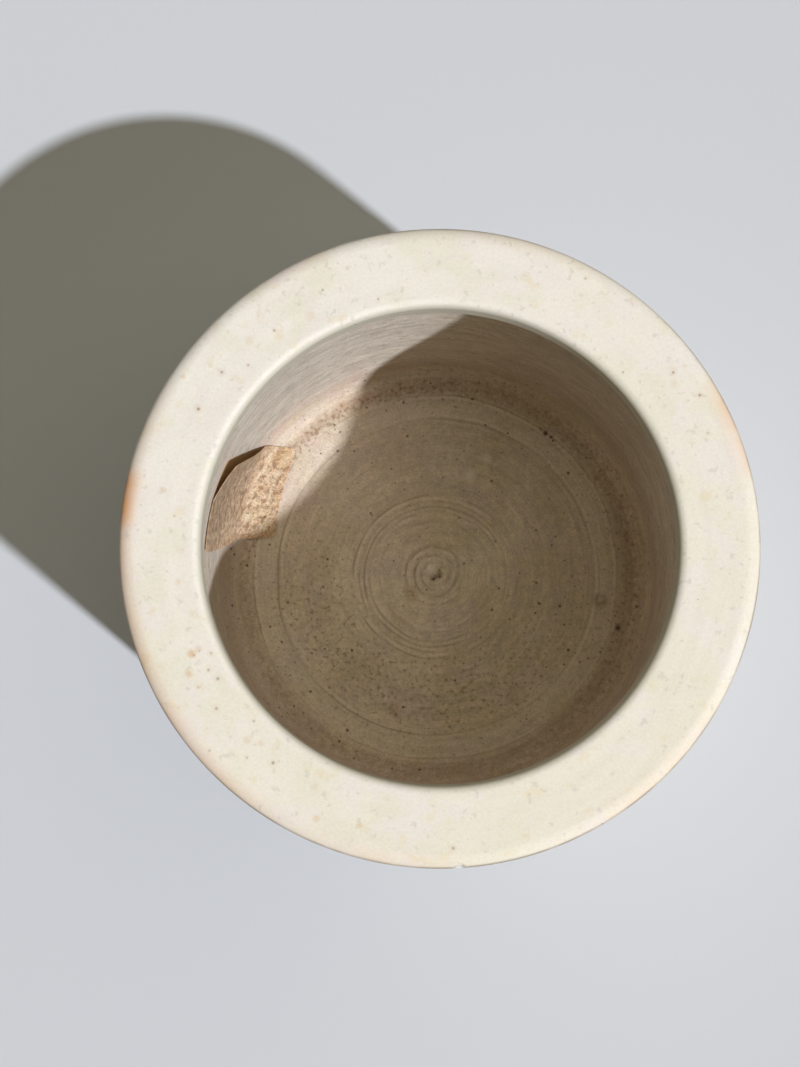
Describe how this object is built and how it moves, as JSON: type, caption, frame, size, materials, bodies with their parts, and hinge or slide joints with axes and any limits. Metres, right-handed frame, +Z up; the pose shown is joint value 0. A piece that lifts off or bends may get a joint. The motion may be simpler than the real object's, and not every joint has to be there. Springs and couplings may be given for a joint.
{
  "type": "brush pot",
  "caption": "Round thrown stoneware pot with a broad flat inward-folded rim, open at the top, which holds writing and painting brushes upright.",
  "frame": {"origin": "on the table, under the middle of the pot", "axes": "+Z up along the pot's turned axis, out of its mouth; +Y towards the top of the picture and +X towards its right"},
  "size_m": [0.1516, 0.1516, 0.141],
  "materials": {
    "cream_glaze": "matte",
    "inside_glaze": "matte",
    "bare_clay": "matte",
    "aged_paper": "matte"
  },
  "bodies": {
    "root": {"foot_ring": "bare_clay", "base": "inside_glaze", "wall": "cream_glaze", "rim": "cream_glaze", "paper_label": "aged_paper"}
  },
  "joints": []
}
